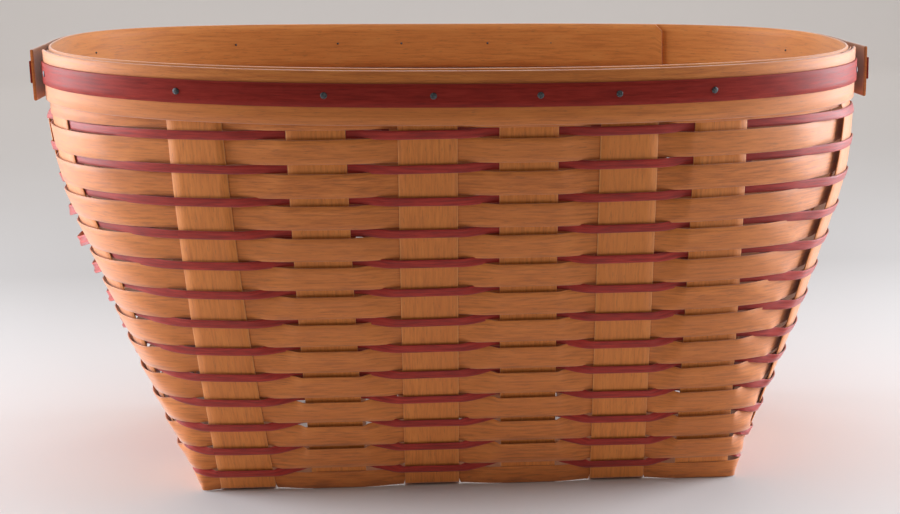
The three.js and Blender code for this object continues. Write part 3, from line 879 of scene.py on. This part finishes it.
def addHalf(half):
    across = acrossPlaces(rim["bandHeight"], rim["bandRounding"], rim["bandColumns"])
    bandMiddle = rim["bandInside"] + rim["bandThickness"] / 2
    grid = halfGrid(half, rim["outerDrop"], rim["bandHeight"], bandMiddle, across)
    stripPiece(f"outer_band_{half}", grid, across * rim["bandHeight"], rim["bandThickness"],
               rim["bandRounding"], False, outerBandWood)
    across = acrossPlaces(rim["trimHeight"], rim["trimRounding"], rim["trimColumns"])
    trimMiddle = rim["bandInside"] + rim["bandThickness"] + rim["trimThickness"] / 2 + rim["trimGap"]
    grid = halfGrid(half, rim["trimDrop"], rim["trimDrop"] + rim["trimHeight"], trimMiddle, across)
    stripPiece(f"trim_{half}", grid, across * rim["trimHeight"], rim["trimThickness"],
               rim["trimRounding"], False, trimStain)


addInnerBand()
addHalf("front")
addHalf("back")
print("rim made")

# Nails: drift is how far each sits along the rim from the middle of its upright.
nail = {
    "radius": 0.0011,
    "headRadius": 0.0028,
    "headHeight": 0.001,
    "tip": 0.0012,
    "tipTaper": 0.6,  # of the shank's radius, at tipShoulder of the tip's length
    "tipShoulder": 0.7,
    "headUnder": 0.97,  # of the head's radius
    "headEdge": 0.35,  # of the head's height
    "pole": 1e-5,  # radius at the closed ends
    "domeSteps": 6,
    "around": 28,
    "frontDrift": [-0.010, 0.009, 0.005, 0.0085, -0.011, -0.011],
    "backDrift": [-0.009, -0.015, 0.009, 0.0, 0.016, 0.017],
    "endDrift": [0.009, -0.008, 0.010],
}


# A nail is its profile turned about the direction out of the wall: tip, shank, and a low domed head.
def addNail(name, upright, drift):
    q = np.array(middleOf(upright) + drift / splint["width"])
    share = shareAtDrop(q, rim["trimDrop"] + rim["trimHeight"] / 2)
    place, out = wallAt(share, q)
    along = np.cross([0, 0, 1], out)
    along /= np.linalg.norm(along)
    up = np.cross(out, along)
    seat = rim["bandInside"] + rim["bandThickness"] + rim["trimThickness"] + rim["trimGap"]
    inside = -(rim["bandInside"] + rim["bandThickness"])
    dome = np.linspace(0, math.pi / 2, nail["domeSteps"])[:-1]
    shank, head, headHeight, tip = nail["radius"], nail["headRadius"], nail["headHeight"], nail["tip"]
    radius = np.concatenate([
        [nail["pole"], shank * nail["tipTaper"], shank, shank, head * nail["headUnder"]],
        head * np.cos(dome), [nail["pole"]]])
    reach = np.concatenate([
        [inside - tip, inside - tip * nail["tipShoulder"], inside, seat, seat],
        seat + headHeight * lerp(nail["headEdge"], 1, np.sin(dome)), [seat + headHeight]])
    turn = np.linspace(0, 2 * math.pi, nail["around"], endpoint=False)[None, :]
    ring = np.cos(turn)[..., None] * along + np.sin(turn)[..., None] * up
    points = place + reach[:, None, None] * out + radius[:, None, None] * ring
    count, around = len(reach), nail["around"]
    rows = np.arange(count - 1)[:, None]
    sides = np.arange(around)[None, :]
    nextSide = (sides + 1) % around
    quads = np.stack([
        rows * around + sides, rows * around + nextSide,
        (rows + 1) * around + nextSide, (rows + 1) * around + sides], axis=-1).reshape(-1, 4)
    faces = quads.tolist() + [list(range(around))[::-1], list(range((count - 1) * around, count * around))]
    mesh = bpy.data.meshes.new(name)
    mesh.from_pydata(points.reshape(-1, 3).tolist(), [], faces)
    return finishPiece(name, mesh, nailSteel)


for i in range(crossCount):
    addNail(f"nail_front_{i + 1}", i, nail["frontDrift"][i])
    addNail(f"nail_back_{i + 1}", lastBack - i, nail["backDrift"][i])
for j in range(longCount):
    addNail(f"nail_right_{j + 1}", crossCount + j, nail["endDrift"][j])
    addNail(f"nail_left_{j + 1}", lastLeft - j, -nail["endDrift"][j])
print("nails made")

# Floor and backdrop in one sweep: flat, a quarter round, then upright. Its tones are set at places along Y,
# between toneFront and toneBack. The uneven tones are painted shade that stands in for the fall-off of the
# lamps' light; the floor is darkest towards the camera.
stage = {
    "halfWidth": 6.0,
    "front": -6.0,
    "bendAt": 3.2,
    "bendRadius": 0.9,
    "bendSteps": 24,
    "top": 3.5,
    "roughness": 0.9,
    "specular": 0.1,
    "toneFront": -1.0,
    "toneBack": 4.0,
    "tones": [
        (-0.90, (0.42, 0.405, 0.40)), (-0.35, (0.80, 0.778, 0.768)), (0.00, (0.66, 0.638, 0.630)),
        (0.30, (0.58, 0.558, 0.548)), (0.75, (0.46, 0.438, 0.426)), (1.50, (0.58, 0.552, 0.536)),
        (3.00, (0.72, 0.685, 0.665))],
}


def addSweep():
    arc = np.linspace(0, math.pi / 2, stage["bendSteps"])
    bendAt, radius = stage["bendAt"], stage["bendRadius"]
    y = np.concatenate([[stage["front"]], bendAt + radius * np.sin(arc), [bendAt + radius]])
    z = np.concatenate([[0.0], radius * (1 - np.cos(arc)), [stage["top"]]])
    x = np.array([-stage["halfWidth"], stage["halfWidth"]])
    points = np.stack(np.broadcast_arrays(x[None, :], y[:, None], z[:, None]), axis=-1)
    rows = np.arange(len(y) - 1)[:, None]
    quads = np.concatenate([2 * rows, 2 * rows + 1, 2 * rows + 3, 2 * rows + 2], axis=1)
    mesh = bpy.data.meshes.new("sweep")
    mesh.from_pydata(points.reshape(-1, 3).tolist(), [], quads.tolist())
    mesh.polygons.foreach_set("use_smooth", np.ones(len(mesh.polygons), bool))
    material, nodes, links, shader = startFinish("pale_sweep_painted_shade")
    place = nodes.new("ShaderNodeTexCoord").outputs["Object"]
    parts = nodes.new("ShaderNodeSeparateXYZ")
    links.new(place, parts.inputs["Vector"])
    front, back = stage["toneFront"], stage["toneBack"]
    share = rangeOf(nodes, links, parts.outputs["Y"], front, back, 0, 1)
    stops = [((y - front) / (back - front), colour) for y, colour in stage["tones"]]
    links.new(ramp(nodes, links, share, stops), shader.inputs["Base Color"])
    shader.inputs["Roughness"].default_value = stage["roughness"]
    shader.inputs["Specular IOR Level"].default_value = stage["specular"]
    mesh.materials.append(material)
    sweep = bpy.data.objects.new("sweep", mesh)
    bpy.context.scene.collection.objects.link(sweep)


# Soft lamps: one large panel to each side, a weaker one above, and two for the backdrop.
sidePanel = {"size": 1.0, "power": 34.0, "aim": (0.0, 0.0, 0.2), "colour": (0.95, 1.0, 1.08)}
backPanel = {"size": 1.5, "power": 26.0, "colour": (1.0, 0.98, 0.97)}
lamps = {
    "left_panel": {**sidePanel, "place": (-1.60, 0.18, 0.52)},
    "right_panel": {**sidePanel, "place": (1.60, 0.18, 0.52)},
    "top_panel": {
        "size": 1.6, "power": 14.0, "aim": (0.0, 0.0, 0.2), "colour": (1.0, 1.0, 1.0),
        "place": (0.0, 0.25, 2.2)},
    "back_left": {**backPanel, "place": (-1.6, 2.3, 2.3), "aim": (-1.6, 2.6, 0.0)},
    "back_right": {**backPanel, "place": (1.6, 2.3, 2.3), "aim": (1.6, 2.6, 0.0)},
}
studio = {"colour": (1.0, 0.96, 0.90), "strength": 0.22}


def addLamps():
    for name, lamp in lamps.items():
        data = bpy.data.lights.new(name, "AREA")
        data.shape = "SQUARE"
        data.size = lamp["size"]
        data.energy = lamp["power"]
        data.color = lamp["colour"]
        panel = bpy.data.objects.new(name, data)
        panel.location = lamp["place"]
        forward = Vector(lamp["aim"]) - Vector(lamp["place"])
        panel.rotation_euler = forward.to_track_quat("-Z", "Y").to_euler()
        bpy.context.scene.collection.objects.link(panel)
    world = bpy.data.worlds.new("studio")
    world.use_nodes = True
    backing = world.node_tree.nodes["Background"]
    backing.inputs["Color"].default_value = (*studio["colour"], 1.0)
    backing.inputs["Strength"].default_value = studio["strength"]
    bpy.context.scene.world = world


# Camera: where it stands, how far it turns right, looks down and rolls, in degrees.
camera = {
    "place": (-0.0849, -1.5681, 0.5325),
    "turn": 3.04,
    "down": 12.573,
    "roll": 0.55,
    "lens": 66.84,
    "sensor": 36.0,
}


def addCamera():
    turn, down, roll = (math.radians(camera[key]) for key in ("turn", "down", "roll"))
    forward = np.array([math.sin(turn) * math.cos(down), math.cos(turn) * math.cos(down), -math.sin(down)])
    level = np.array([math.cos(turn), -math.sin(turn), 0.0])
    upright = np.cross(level, forward)
    right = level * math.cos(roll) - upright * math.sin(roll)
    up = upright * math.cos(roll) + level * math.sin(roll)
    data = bpy.data.cameras.new("front_view")
    data.lens = camera["lens"]
    data.sensor_width = camera["sensor"]
    view = bpy.data.objects.new("front_view", data)
    turned = np.stack([right, up, -forward], axis=1)
    view.matrix_world = Matrix.Translation(camera["place"]) @ Matrix(turned.tolist()).to_4x4()
    bpy.context.scene.collection.objects.link(view)
    bpy.context.scene.camera = view


addSweep()
addLamps()
addCamera()
bpy.context.scene.view_settings.view_transform = "Standard"
print("stage, lamps and camera made")
